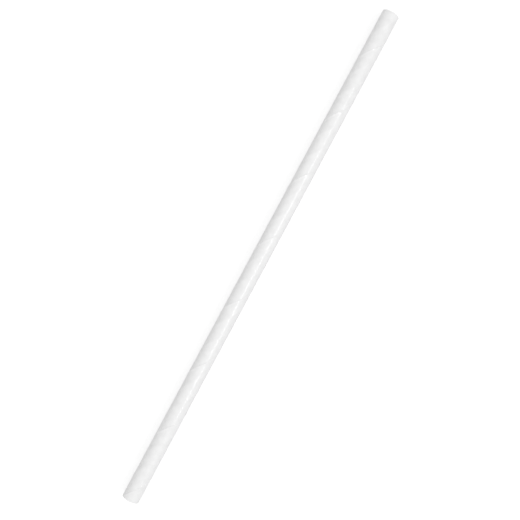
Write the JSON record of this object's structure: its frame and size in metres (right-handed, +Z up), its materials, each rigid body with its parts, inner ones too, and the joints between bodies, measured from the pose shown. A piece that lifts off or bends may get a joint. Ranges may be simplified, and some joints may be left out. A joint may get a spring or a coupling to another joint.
{
  "type": "paper drinking straw",
  "caption": "Straight spiral-wound paper drinking straw, an open thin-walled tube with square-cut ends, for drinking through from a cup or can.",
  "frame": {"origin": "on the surface that the straw lies on, under the middle of its length", "axes": "+X along the straw, towards the end taken as its mouth; +Z up as it lies on its side"},
  "size_m": [0.197, 0.0066, 0.0064],
  "materials": {
    "paper": "smooth bleached paper with a faint sheen"
  },
  "bodies": {
    "root": {"paper_straw": "paper"}
  },
  "joints": []
}
